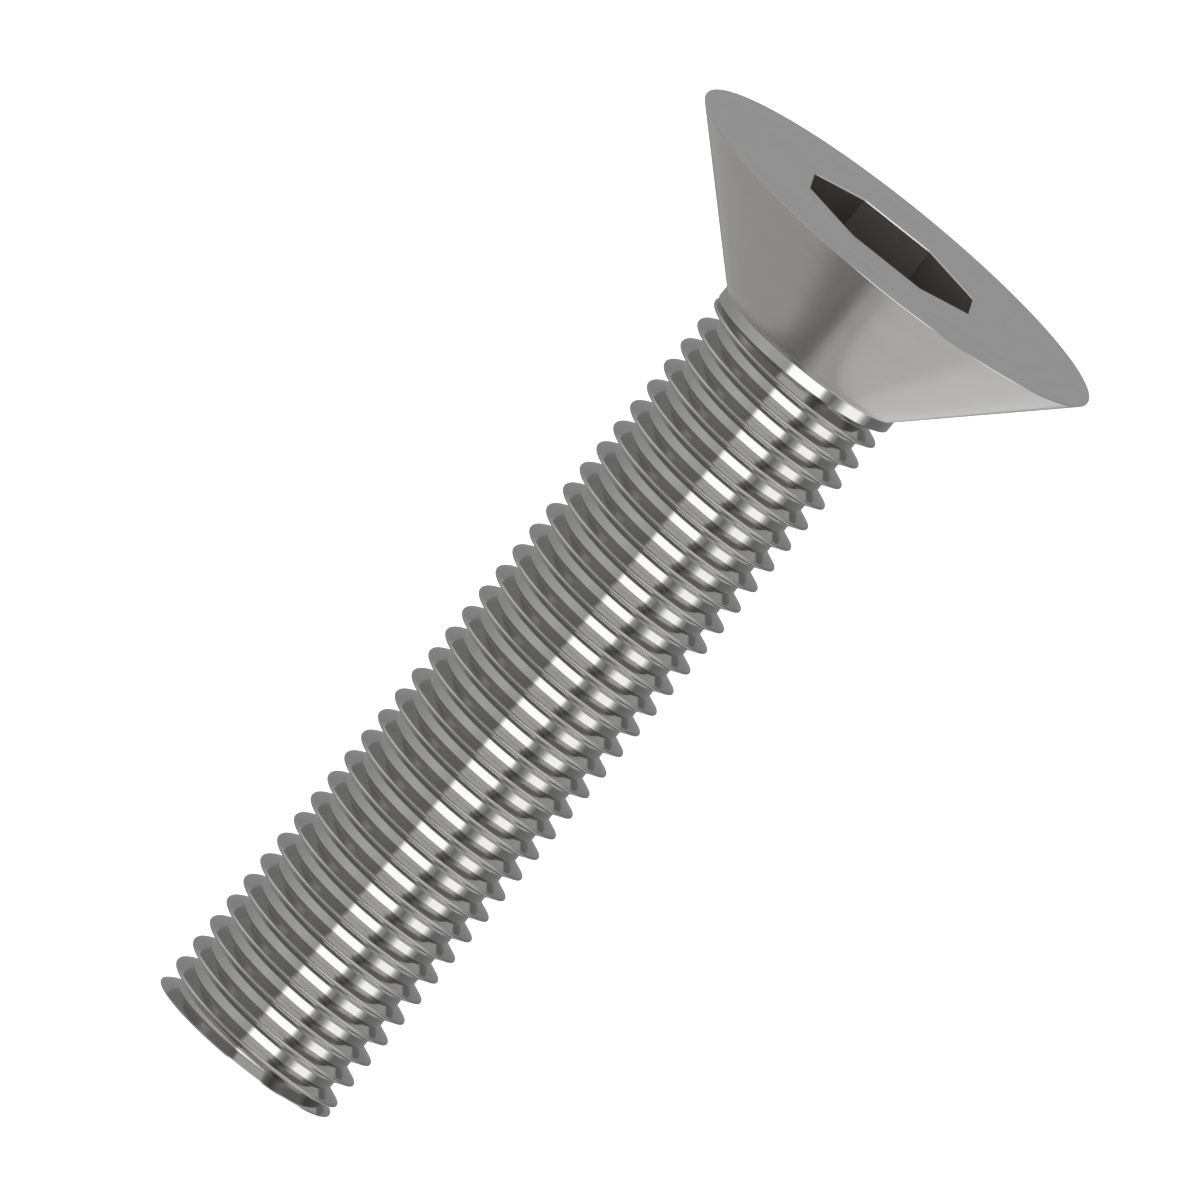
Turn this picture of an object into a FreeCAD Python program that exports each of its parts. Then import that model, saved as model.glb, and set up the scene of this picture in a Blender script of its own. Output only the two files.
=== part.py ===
import FreeCAD, Part
import math
import os

# A countersunk cap screw in one piece: a wide conical head with an eight-sided drive
# socket, a short plain collar, and a left-hand thread that ends in a flat full-width ring.
# Sizes are in millimetres. The origin is the centre of the cut end, +Z runs along the
# axis to the flat top of the head, and angles are counter-clockwise from +X.

# Driving dimensions of the body
overall_length = 77.6
head_diameter = 36.4
cone_angle = 90.0
collar_length = 0.95

# Driving dimensions of the thread
thread_diameter = 16.0
pitch = 2.0
depth_to_pitch = 0.6134
root_to_pitch = 0.345
crest_to_pitch = 0.10
crest_angle_at_end = 172.8

# Driving dimensions of the drive socket
socket_sides = 8
socket_across_flats = 15.0
socket_depth = 6.0
socket_turn = 4.0
socket_offset = -0.5
mouth_chamfer = 0.08

# Derived heights and radii
thread_radius = thread_diameter / 2
head_radius = head_diameter / 2
cone_height = (head_radius - thread_radius) / math.tan(math.radians(cone_angle / 2))
cone_bottom = overall_length - cone_height
thread_top = cone_bottom - collar_length

# Derived form of the groove between two ridges
crest_width = pitch * crest_to_pitch
groove_depth = pitch * depth_to_pitch
root_radius = thread_radius - groove_depth
root_width = pitch * root_to_pitch
mouth_width = pitch - crest_width
flank_slope = (mouth_width - root_width) / 2 / groove_depth


def turned(outline):
    """The solid of revolution of an outline of (radius, height) points that begins and ends on the axis."""
    corners = [FreeCAD.Vector(radius, 0, height) for radius, height in outline]
    section = Part.Face(Part.makePolygon(corners + corners[:1]))
    return section.revolve(FreeCAD.Vector(0, 0, 0), FreeCAD.Vector(0, 0, 1), 360)


def turned_blank():
    """The screw before any cut: the rod with its collar, and the cone up to its sharp rim."""
    return turned([
        (0, 0),
        (thread_radius, 0),
        (thread_radius, cone_bottom),
        (head_radius, overall_length),
        (0, overall_length),
    ])


def helical_groove():
    """The space between the ridges: a trapezoid swept along a left-hand helix, a pitch past each end."""
    overcut = crest_width / 2
    outer_radius = thread_radius + overcut
    outer_half = mouth_width / 2 + overcut * flank_slope
    corners = [
        FreeCAD.Vector(root_radius, 0, -root_width / 2),
        FreeCAD.Vector(outer_radius, 0, -outer_half),
        FreeCAD.Vector(outer_radius, 0, outer_half),
        FreeCAD.Vector(root_radius, 0, root_width / 2),
    ]
    profile = Part.makePolygon(corners + corners[:1])
    helix = Part.makeLongHelix(pitch, thread_top + 2 * pitch, root_radius, 0, True)
    groove = Part.Wire(helix.Edges).makePipeShell([profile], True, True)
    groove.rotate(FreeCAD.Vector(0, 0, 0), FreeCAD.Vector(0, 0, 1), crest_angle_at_end - 180)
    groove.translate(FreeCAD.Vector(0, 0, -pitch))
    return groove


def groove_stop(edge_height, away):
    """A plain form past one end of the groove, upward where away is 1 and downward where it is -1.
    Its conical side slopes like a flank, from the rod's surface at edge_height to just inside the root."""
    core_radius = root_radius - 0.05 * pitch
    outer_radius = thread_radius + crest_width
    core_height = edge_height - away * (thread_radius - core_radius) * flank_slope
    outer_height = edge_height + away * (outer_radius - thread_radius) * flank_slope
    far_height = edge_height + away * 2 * pitch
    return turned([
        (0, core_height),
        (core_radius, core_height),
        (outer_radius, outer_height),
        (outer_radius, far_height),
        (0, far_height),
    ])


def drive_socket():
    """The space of the socket: a straight-walled prism, turned and set off the axis as a whole."""
    corner_radius = socket_across_flats / 2 / math.cos(math.pi / socket_sides)
    floor_height = overall_length - socket_depth
    corners = []
    for side in range(socket_sides):
        angle = math.radians(socket_turn) + math.pi * (2 * side + 1) / socket_sides
        x = socket_offset + corner_radius * math.cos(angle)
        y = corner_radius * math.sin(angle)
        corners.append(FreeCAD.Vector(x, y, floor_height))
    outline = Part.makePolygon(corners + corners[:1])
    return Part.Face(outline).extrude(FreeCAD.Vector(0, 0, socket_depth))


def chamfered_mouth(body):
    """The body with a small chamfer along the straight edges where the socket meets the flat top."""
    mouth = []
    for edge in body.Edges:
        level = abs(edge.BoundBox.ZMin - overall_length) < 1e-6
        if level and isinstance(edge.Curve, Part.Line):
            mouth.append(edge)
    return body.makeChamfer(mouth_chamfer, mouth)


def cap_screw():
    """The whole screw as one solid. The groove ends at the collar above and at a plain ring below."""
    body = chamfered_mouth(turned_blank().cut(drive_socket()))
    groove = helical_groove().cut(groove_stop(thread_top, 1)).cut(groove_stop(crest_width / 2, -1))
    return body.cut(groove)


os.makedirs("parts", exist_ok=True)
cap_screw().exportStep("parts/cap_screw.step")
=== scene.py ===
import math

import bmesh
import bpy
from mathutils import Matrix, Vector


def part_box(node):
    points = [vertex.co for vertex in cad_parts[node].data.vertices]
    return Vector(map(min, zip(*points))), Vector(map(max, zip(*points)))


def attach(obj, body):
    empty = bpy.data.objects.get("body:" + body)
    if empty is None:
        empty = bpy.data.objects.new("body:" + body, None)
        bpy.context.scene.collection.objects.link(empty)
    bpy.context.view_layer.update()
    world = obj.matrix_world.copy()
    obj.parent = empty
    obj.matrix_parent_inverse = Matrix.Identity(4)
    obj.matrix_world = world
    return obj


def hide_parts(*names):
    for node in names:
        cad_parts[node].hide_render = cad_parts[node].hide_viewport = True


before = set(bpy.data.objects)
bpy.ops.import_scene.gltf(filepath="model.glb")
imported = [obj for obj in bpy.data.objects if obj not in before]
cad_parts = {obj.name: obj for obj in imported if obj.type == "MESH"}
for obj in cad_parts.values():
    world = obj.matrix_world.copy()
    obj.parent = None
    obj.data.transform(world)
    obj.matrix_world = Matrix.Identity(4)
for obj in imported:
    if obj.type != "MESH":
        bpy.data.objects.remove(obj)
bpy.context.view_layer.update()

# The looks of a one-piece countersunk screw. Lengths are in metres, angles in degrees,
# counter-clockwise from +X. The axis is Z, and the cut end stands on Z = 0.
MM = 0.001
screw_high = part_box("cap_screw")[1]

# Body
top = screw_high.z
head_radius = screw_high.x
thread_radius = 8.0 * MM
cone_bottom = top - (head_radius - thread_radius)
collar_length = 0.95 * MM
thread_top = cone_bottom - collar_length
rim_land = 0.05 * MM
neck_fillet = 0.2 * MM

# Thread
pitch = 2.0 * MM
root_radius = thread_radius - 0.6134 * pitch
root_width = 0.345 * pitch
crest_width = 0.1 * pitch
flank_width = (pitch - root_width - crest_width) / 2
crest_angle_at_end = 172.8
root_fillet = 0.04 * MM
crest_round_above = 0.20 * MM
crest_round_below = 0.10 * MM

# Mesh
turn_steps = 128
arc_steps = 4
spare_turns = 2
on_the_cut = 0.00001 * MM
same_level = 0.0001 * MM
smooth_limit = math.radians(35)

# The plain cones at both ends of the groove reach a little into the core. The collar and the
# end ring stand proud of the crests by much less than can be seen, so that no surfaces coincide.
core_overlap = 0.1 * MM
proud = 0.003 * MM
core_radius = root_radius - core_overlap
plain_radius = thread_radius + proud
flank_slope = flank_width / (thread_radius - root_radius)
cone_run = (plain_radius - core_radius) * flank_slope

# Drive socket
socket_sides = 8
socket_across_flats = 15.0 * MM
socket_depth = 6.0 * MM
socket_turn = 4.0
socket_offset = -0.5 * MM
mouth_chamfer = 0.08 * MM

# Camera: the view of the photograph, a parallel projection seen from a little above the head
photo_size = 1200
photo_pixels_per_metre = 13500
head_centre_pixel = (897.26, 247.98)
camera_elevation = 9.99
camera_roll = 39.21
camera_distance = 0.5

# Steels: name, colour, roughness, stretch of the grain, height of the grain
steels = (
    ("polished_thread", (0.578, 0.574, 0.568), 0.07, (600, 3, 600), 0.001 * MM),
    ("satin_cone", (0.65, 0.635, 0.62), 0.17, (500, 2, 500), 0.001 * MM),
    ("turned_top", (0.81, 0.81, 0.805), 0.34, (900, 2, 900), 0.004 * MM),
    # The socket's colour is darkened far below the other steels as painted shade for the recess; its
    # roughness and grain are the broached finish.
    ("broached_socket", (0.275, 0.253, 0.234), 0.42, (200, 60, 40), 0.006 * MM),
    ("worn_crest", (0.56, 0.555, 0.55), 0.30, (600, 3, 600), 0.002 * MM),
)
tone_spread = (0.94, 1.05)
roughness_spread = (0.85, 1.15)
cloud_scale = 180.0

# Studio
floor_radius = 2.0
floor_gap = 0.02 * MM
floor_grey = 0.8
floor_glow = 0.9


def step_angle(step):
    """The angle of one of the steps round the axis, in radians. Steps run clockwise seen from the head."""
    return math.radians(crest_angle_at_end - 180) - 2 * math.pi * step / turn_steps


def rounded(corners, radii):
    """A profile of (radius, height) points with arcs in place of its inner corners."""
    points = [Vector(corners[0])]
    for before, corner, after, radius in zip(corners, corners[1:], corners[2:], radii):
        corner = Vector(corner)
        back = (Vector(before) - corner).normalized()
        ahead = (Vector(after) - corner).normalized()
        half = back.angle(ahead) / 2
        centre = corner + (back + ahead).normalized() * radius / math.sin(half)
        first = corner + back * radius / math.tan(half) - centre
        last = corner + ahead * radius / math.tan(half) - centre
        sweep = math.pi - 2 * half
        for k in range(arc_steps + 1):
            share = k / arc_steps
            ray = first * math.sin((1 - share) * sweep) + last * math.sin(share * sweep)
            points.append(centre + ray / math.sin(sweep))
    points.append(Vector(corners[-1]))
    return points


def ring(bm, places):
    """A closed ring of vertices, one at each place."""
    return [bm.verts.new(place) for place in places]


def join_rings(bm, first, second):
    """Quads between two rings with as many vertices."""
    for i in range(len(first)):
        j = (i + 1) % len(first)
        bm.faces.new((first[i], second[i], second[j], first[j]))


def circle_places(radius, height):
    """The places of a ring round the axis."""
    places = []
    for step in range(turn_steps):
        angle = step_angle(step)
        places.append((radius * math.cos(angle), radius * math.sin(angle), height))
    return places


def socket_places(across_flats, height):
    """The places of a ring along the eight straight sides of the socket, with a vertex in each corner."""
    corner_radius = across_flats / 2 / math.cos(math.pi / socket_sides)
    corners = []
    for side in range(socket_sides + 1):
        angle = math.radians(socket_turn) + math.pi * (1 - 2 * side) / socket_sides
        x = socket_offset + corner_radius * math.cos(angle)
        y = corner_radius * math.sin(angle)
        corners.append(Vector((x, y, height)))
    per_side = turn_steps // socket_sides
    lead = math.radians(socket_turn) + math.pi / socket_sides - step_angle(0)
    shift = round(lead / (2 * math.pi) * turn_steps)
    places = []
    for step in range(turn_steps):
        side, along = divmod((step + shift) % turn_steps, per_side)
        places.append(corners[side].lerp(corners[side + 1], along / per_side))
    return places


def closed_skin(rings, bm, name):
    """The mesh of a stack of rings, closed by a flat face at each end."""
    for first, second in zip(rings, rings[1:]):
        join_rings(bm, first, second)
    bm.faces.new(rings[0])
    bm.faces.new(rings[-1])
    bmesh.ops.recalc_face_normals(bm, faces=bm.faces[:])
    return finished_mesh(bm, name)


def head_mesh():
    """The head as one closed skin: socket, flat top, rim, cone, and collar with its conical underside."""
    bm = bmesh.new()
    rings = [
        ring(bm, socket_places(socket_across_flats, top - socket_depth)),
        ring(bm, socket_places(socket_across_flats, top - mouth_chamfer)),
        ring(bm, socket_places(socket_across_flats + 2 * mouth_chamfer, top)),
    ]
    outline = rounded(
        [(head_radius, top - rim_land), (plain_radius, cone_bottom), (plain_radius, thread_top)],
        [neck_fillet],
    )
    for radius, height in [(head_radius, top)] + outline + [(core_radius, thread_top - cone_run)]:
        rings.append(ring(bm, circle_places(radius, height)))
    return closed_skin(rings, bm, "head")


def end_ring_mesh():
    """The plain ring at the cut end as one closed skin, with the cone that closes the groove above it."""
    bm = bmesh.new()
    outline = [
        (plain_radius, 0),
        (plain_radius, crest_width / 2),
        (core_radius, crest_width / 2 + cone_run),
    ]
    rings = [ring(bm, circle_places(radius, height)) for radius, height in outline]
    return closed_skin(rings, bm, "end_ring")


def thread_mesh():
    """The threaded rod as one closed skin: a profile of one pitch carried along the helix. Both its ends
    are cut square, inside the end ring and inside the collar."""
    half_root = root_width / 2
    profile = rounded(
        [
            (root_radius, 0),
            (root_radius, half_root),
            (thread_radius, half_root + flank_width),
            (thread_radius, pitch - half_root - flank_width),
            (root_radius, pitch - half_root),
            (root_radius, pitch),
        ],
        [root_fillet, crest_round_below, crest_round_above, root_fillet],
    )[:-1]
    steps = (math.ceil(thread_top / pitch) + 2 * spare_turns) * turn_steps
    bm = bmesh.new()
    rails = []
    for step in range(steps + turn_steps + 1):
        angle = step_angle(step)
        lift = pitch * (step / turn_steps - spare_turns)
        rail = []
        for radius, height in profile:
            rail.append(bm.verts.new((radius * math.cos(angle), radius * math.sin(angle), height + lift)))
        rails.append(rail)
    for step in range(steps):
        here = rails[step] + [rails[step + turn_steps][0]]
        ahead = rails[step + 1] + [rails[step + turn_steps + 1][0]]
        for i in range(len(profile)):
            bm.faces.new((here[i], ahead[i], ahead[i + 1], here[i + 1]))
    for level, outward in ((crest_width / 4, -1), (thread_top + collar_length / 2, 1)):
        bmesh.ops.bisect_plane(
            bm,
            geom=bm.verts[:] + bm.edges[:] + bm.faces[:],
            dist=on_the_cut,
            plane_co=(0, 0, level),
            plane_no=(0, 0, outward),
            clear_outer=True,
        )
        border = []
        for edge in bm.edges:
            if edge.is_boundary and all(abs(v.co.z - level) < same_level for v in edge.verts):
                border.append(edge)
        bmesh.ops.edgeloop_fill(bm, edges=border)
    loose = [v for v in bm.verts if not v.link_faces]
    bmesh.ops.delete(bm, geom=loose, context="VERTS")
    bmesh.ops.recalc_face_normals(bm, faces=bm.faces[:])
    return finished_mesh(bm, "thread")


def finished_mesh(bm, name):
    """The mesh of a bmesh, which is freed."""
    mesh = bpy.data.meshes.new(name)
    bm.to_mesh(mesh)
    bm.free()
    return mesh


def shown(name, mesh):
    """A new object in the scene."""
    piece = bpy.data.objects.new(name, mesh)
    bpy.context.scene.collection.objects.link(piece)
    return piece


def baked(piece):
    """The piece's mesh with its modifiers applied."""
    graph = bpy.context.evaluated_depsgraph_get()
    mesh = bpy.data.meshes.new_from_object(piece.evaluated_get(graph))
    piece.modifiers.clear()
    return mesh


def smooth(mesh, limit):
    """Smooths the mesh over edges below the limit. Each corner's normal is the mean of the faces round
    it. The large ones count most, so that the flanks stay straight up to the small arcs beside them."""
    mesh.shade_smooth()
    mesh.set_sharp_from_angle(angle=limit)
    around = [[] for vertex in mesh.vertices]
    for face in mesh.polygons:
        for vertex in face.vertices:
            around[vertex].append((face.normal.copy(), (face.area / MM ** 2) ** 2))
    normals = []
    for face in mesh.polygons:
        for vertex in face.vertices:
            total = Vector((0, 0, 0))
            for normal, weight in around[vertex]:
                if normal.dot(face.normal) > math.cos(limit):
                    total += normal * weight
            normals.append(total.normalized())
    mesh.normals_split_custom_set(normals)


def screw_piece():
    """Head, threaded rod and end ring united into one skin, smooth where the real surface is round."""
    piece = shown("screw", head_mesh())
    for mesh in (thread_mesh(), end_ring_mesh()):
        other = shown("other", mesh)
        union = piece.modifiers.new("union", "BOOLEAN")
        union.operation = "UNION"
        union.solver = "EXACT"
        union.object = other
        piece.data = baked(piece)
        bpy.data.objects.remove(other)
    smooth(piece.data, smooth_limit)
    return piece


class Nodes:
    """A small builder of node trees."""

    def __init__(self, tree):
        self.tree = tree
        tree.nodes.clear()

    def add(self, kind, **values):
        """A node whose inputs and settings are given by name. A value that is a socket is linked."""
        node = self.tree.nodes.new(kind)
        for name, value in values.items():
            if hasattr(node, name):
                setattr(node, name, value)
            else:
                self.feed(node.inputs[name.replace("_", " ")], value)
        return node

    def feed(self, socket, value):
        """Links a socket to an input, or sets the input's own value."""
        if isinstance(value, bpy.types.NodeSocket):
            self.tree.links.new(value, socket)
        else:
            socket.default_value = value

    def math(self, operation, *values):
        """The result of one arithmetic step."""
        node = self.tree.nodes.new("ShaderNodeMath")
        node.operation = operation
        for socket, value in zip(node.inputs, values):
            self.feed(socket, value)
        return node.outputs[0]

    def vector(self, operation, first, second):
        """The result of one step on vectors or colours."""
        node = self.add("ShaderNodeVectorMath", operation=operation)
        self.feed(node.inputs[0], first)
        self.feed(node.inputs[1], second)
        return node.outputs[0]

    def mix(self, factor, first, second):
        """A colour between two others."""
        node = self.add("ShaderNodeMix", data_type="RGBA")
        for name, value in (("Factor", factor), ("A", first), ("B", second)):
            self.feed(node.inputs[name], value)
        return node.outputs["Result"]

    def ramp(self, factor, stops):
        """A colour ramp of (place, grey level) stops."""
        node = self.tree.nodes.new("ShaderNodeValToRGB")
        elements = node.color_ramp.elements
        while len(elements) < len(stops):
            elements.new(0.5)
        for element, (place, level) in zip(elements, stops):
            element.position = place
            element.color = (level, level, level, 1)
        self.feed(node.inputs[0], factor)
        return node.outputs["Color"]


def steel(name, colour, roughness, grain_scale, grain_height):
    """Bare steel with fine machining marks: a noise that grain_scale stretches along radius, turn and
    height. The steel's tone follows the marks, and its polish varies in soft clouds."""
    material = bpy.data.materials.new(name)
    material.use_nodes = True
    nodes = Nodes(material.node_tree)
    place = nodes.add("ShaderNodeTexCoord").outputs["Object"]
    parts = nodes.add("ShaderNodeSeparateXYZ", Vector=place).outputs
    squares = nodes.math("ADD", nodes.math("POWER", parts[0], 2.0), nodes.math("POWER", parts[1], 2.0))
    radius = nodes.math("SQRT", squares)
    turn = nodes.math("ARCTAN2", parts[1], parts[0])
    polar = nodes.add("ShaderNodeCombineXYZ", X=radius, Y=turn, Z=parts[2]).outputs[0]
    stretched = nodes.vector("MULTIPLY", polar, grain_scale)
    grain = nodes.add("ShaderNodeTexNoise", Vector=stretched, Scale=1.0, Detail=4.0).outputs["Fac"]
    cloud = nodes.add("ShaderNodeTexNoise", Vector=place, Scale=cloud_scale, Detail=3.0).outputs["Fac"]
    low, high = [share * roughness for share in roughness_spread]
    rough = nodes.add("ShaderNodeMapRange", Value=cloud, To_Min=low, To_Max=high).outputs[0]
    darker, lighter = [[min(1, share * level) for level in colour] + [1] for share in tone_spread]
    shader = nodes.add(
        "ShaderNodeBsdfPrincipled",
        Base_Color=nodes.mix(grain, darker, lighter),
        Roughness=rough,
        Normal=nodes.add("ShaderNodeBump", Height=grain, Strength=1.0, Distance=grain_height).outputs[0],
        Metallic=1.0,
    )
    nodes.add("ShaderNodeOutputMaterial", Surface=shader.outputs[0])
    return material


def region(centre):
    """The name of the steel at a place of the screw's skin."""
    reach = math.hypot(centre.x, centre.y)
    if centre.z > top - mouth_chamfer and reach < head_radius - rim_land:
        return "turned_top"
    # Faces inside the socket get the steel whose dark colour is painted shade.
    if centre.z > top - socket_depth - MM and reach < head_radius - (top - centre.z) - MM:
        return "broached_socket"
    if centre.z > cone_bottom:
        return "satin_cone"
    if crest_width < centre.z < thread_top and reach > thread_radius - crest_round_above / 2:
        return "worn_crest"
    return "polished_thread"


def dress(piece):
    """Gives each region of the screw its own steel."""
    names = []
    for name, *look in steels:
        names.append(name)
        piece.data.materials.append(steel(name, *look))
    for face in piece.data.polygons:
        face.material_index = names.index(region(face.center))


def studio_world():
    """A white studio for the camera. The steel reflects grey walls, soft lamps, a ceiling and a floor."""
    world = bpy.data.worlds.new("studio")
    bpy.context.scene.world = world
    world.use_nodes = True
    nodes = Nodes(world.node_tree)
    direction = nodes.add("ShaderNodeTexCoord").outputs["Generated"]
    parts = nodes.add("ShaderNodeSeparateXYZ", Vector=direction).outputs
    azimuth = nodes.math("ARCTAN2", parts[0], nodes.math("MULTIPLY", parts[1], -1.0))
    around = nodes.add("ShaderNodeMapRange", Value=azimuth, From_Min=-math.pi, From_Max=math.pi).outputs[0]
    across = nodes.math("MULTIPLY_ADD", parts[0], 0.5, 0.5)
    up = nodes.math("MULTIPLY_ADD", parts[2], 0.5, 0.5)

    def row(factor, levels, strengths):
        """One row of the studio: grey levels along a factor, times a strength by height from -1 to 1."""
        by_height = nodes.ramp(up, [((height + 1) / 2, strength) for height, strength in strengths])
        return nodes.vector("MULTIPLY", nodes.ramp(factor, levels), by_height)

    def turned_row(levels, strengths):
        """A row whose levels stand at azimuths in degrees, 0 towards the camera."""
        return row(around, [((degrees + 180) / 360, level) for degrees, level in levels], strengths)

    # Each row has its levels by direction first, then its strengths by height.
    walls = turned_row(
        [
            (-180, 0.3), (-120, 0.4), (-40, 0.6), (-10, 0.5), (40, 0.5),
            (50, 0.2), (60, 0.5), (100, 0.5), (110, 0.2), (180, 0.3),
        ],
        [(-0.35, 0), (-0.30, 1.0), (0.45, 1.0), (0.50, 0)],
    )
    lamps = turned_row(
        [(-10, 0), (-5, 1.2), (35, 1.2), (40, 0), (60, 0), (70, 1.0), (90, 1.0), (100, 0)],
        [(-0.25, 0), (-0.20, 1.0), (-0.10, 1.0), (-0.05, 0), (0.30, 0), (0.35, 1.0), (0.45, 1.0), (0.50, 0)],
    )
    ceiling = turned_row(
        [(-180, 0.4), (-90, 0.6), (0, 0.2), (30, 1.0), (80, 1.0), (120, 0.5), (180, 0.4)],
        [(0.45, 0), (0.50, 1.0), (0.80, 1.0), (0.90, 0.5), (0.96, 0.5), (0.98, 3.0)],
    )
    left_light = turned_row(
        [(-130, 0), (-110, 0.7), (-70, 0.7), (-50, 0)],
        [(0.25, 0), (0.30, 1.0), (0.50, 1.0), (0.55, 0)],
    )
    ground = turned_row(
        [(-180, 0.4), (-110, 0.4), (-80, 0.2), (30, 0.2), (60, 0.7), (170, 0.7), (180, 0.4)],
        [(-0.85, 0), (-0.80, 1.0), (-0.35, 1.0), (-0.30, 0)],
    )
    left_to_right = ((-0.2, 0.4), (-0.1, 0.2), (0, 0.2), (0.1, 0.6))
    under = row(
        across,
        [((x + 1) / 2, level) for x, level in left_to_right],
        [(-0.85, 1.0), (-0.80, 0)],
    )
    studio = walls
    for light in (lamps, ceiling, left_light, ground, under):
        studio = nodes.vector("ADD", studio, light)
    seen = nodes.add("ShaderNodeLightPath").outputs["Is Camera Ray"]
    colour = nodes.mix(seen, studio, (1, 1, 1, 1))
    background = nodes.add("ShaderNodeBackground", Color=colour, Strength=1.0)
    nodes.add("ShaderNodeOutputWorld", Surface=background.outputs[0])


def white_floor():
    """The pale floor that the screw stands on. The camera sees it as white, with a faint shadow."""
    bm = bmesh.new()
    bmesh.ops.create_circle(bm, cap_ends=True, segments=64, radius=floor_radius)
    floor = shown("floor", finished_mesh(bm, "floor"))
    floor.location.z = -floor_gap
    floor.visible_glossy = False
    material = bpy.data.materials.new("white_floor")
    material.use_nodes = True
    nodes = Nodes(material.node_tree)
    lit = nodes.add("ShaderNodeBsdfDiffuse", Color=(floor_grey, floor_grey, floor_grey, 1))
    glow = nodes.add("ShaderNodeEmission", Color=(1, 1, 1, 1), Strength=floor_glow)
    seen = nodes.add("ShaderNodeLightPath").outputs["Is Camera Ray"]
    added = nodes.add("ShaderNodeAddShader")
    nodes.feed(added.inputs[0], lit.outputs[0])
    nodes.feed(added.inputs[1], glow.outputs[0])
    mixed = nodes.add("ShaderNodeMixShader")
    nodes.feed(mixed.inputs[0], seen)
    nodes.feed(mixed.inputs[1], lit.outputs[0])
    nodes.feed(mixed.inputs[2], added.outputs[0])
    nodes.add("ShaderNodeOutputMaterial", Surface=mixed.outputs[0])
    floor.data.materials.append(material)


def photo_camera():
    """A parallel camera in front of the screw, rolled so that the screw leans as in the photograph."""
    data = bpy.data.cameras.new("camera")
    data.type = "ORTHO"
    data.ortho_scale = photo_size / photo_pixels_per_metre
    camera = bpy.data.objects.new("camera", data)
    bpy.context.scene.collection.objects.link(camera)
    elevation = math.radians(camera_elevation)
    roll = math.radians(camera_roll)
    back = Vector((0, -math.cos(elevation), math.sin(elevation)))
    level = Vector((1, 0, 0))
    upright = Vector((0, math.sin(elevation), math.cos(elevation)))
    right = level * math.cos(roll) + upright * math.sin(roll)
    up = upright * math.cos(roll) - level * math.sin(roll)
    across = (head_centre_pixel[0] - photo_size / 2) / photo_pixels_per_metre
    rise = (photo_size / 2 - head_centre_pixel[1]) / photo_pixels_per_metre
    centre = Vector((0, 0, top)) - right * across - up * rise
    turn = Matrix((right, up, back)).transposed().to_4x4()
    camera.matrix_world = Matrix.Translation(centre + back * camera_distance) @ turn
    bpy.context.scene.camera = camera


bpy.context.scene.view_settings.view_transform = "Standard"
photo_camera()
studio_world()
white_floor()
screw = screw_piece()
dress(screw)
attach(screw, "root")
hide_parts("cap_screw")
